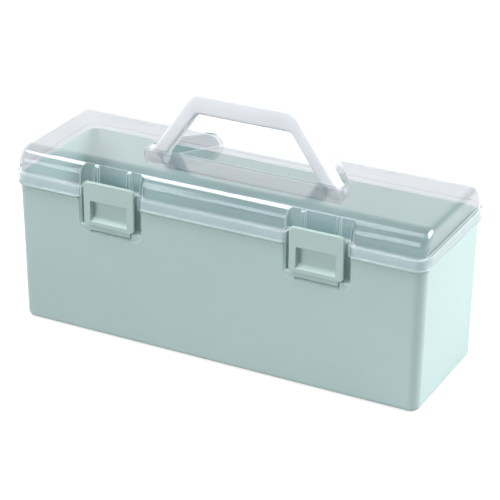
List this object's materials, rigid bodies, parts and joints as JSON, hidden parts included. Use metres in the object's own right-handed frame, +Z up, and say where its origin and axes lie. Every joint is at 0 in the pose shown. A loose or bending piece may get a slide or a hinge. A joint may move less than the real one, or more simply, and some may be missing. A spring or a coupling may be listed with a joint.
{
  "type": "art supply box",
  "caption": "Long tapered hobby box with a clear domed lid on snap hinges, a trapezoid carrying handle that folds flat into the lid, and snap latches on the front",
  "frame": {"origin": "centre of the flat underside that the box stands on", "axes": "+X along the box to its right end seen from the latches, +Y from the latches to the lid hinges, +Z up"},
  "size_m": [0.3458, 0.1245, 0.1965],
  "materials": {
    "mint_plastic": "satin pale mint, fine moulded grain",
    "clear_plastic": "clear, faintly frosted, glossy",
    "milky_plastic": "milky translucent white, satin",
    "latch_plastic": "satin pale mint"
  },
  "bodies": {
    "body": {"body": "mint_plastic"},
    "lid": {"lid": "clear_plastic"},
    "handle": {"handle": "milky_plastic"},
    "left_latch": {"left_latch": "latch_plastic"},
    "right_latch": {"right_latch": "latch_plastic"}
  },
  "joints": [
    {"name": "lid_hinge", "type": "hinge", "parent": "body", "child": "lid", "pos_m": [0, 0.0625, 0.1145], "axis": [-1, 0, 0], "range_deg": [0, 105]},
    {"name": "handle_pivot", "type": "hinge", "parent": "lid", "child": "handle", "pos_m": [0, 0, 0.13825], "axis": [-1, 0, 0], "range_deg": [0, 90]},
    {"name": "left_latch_hinge", "type": "hinge", "parent": "body", "child": "left_latch", "pos_m": [-0.087, -0.0533, 0.0916], "axis": [1, 0, 0], "range_deg": [0, 95]},
    {"name": "right_latch_hinge", "type": "hinge", "parent": "body", "child": "right_latch", "pos_m": [0.087, -0.0533, 0.0916], "axis": [1, 0, 0], "range_deg": [0, 95]}
  ]
}
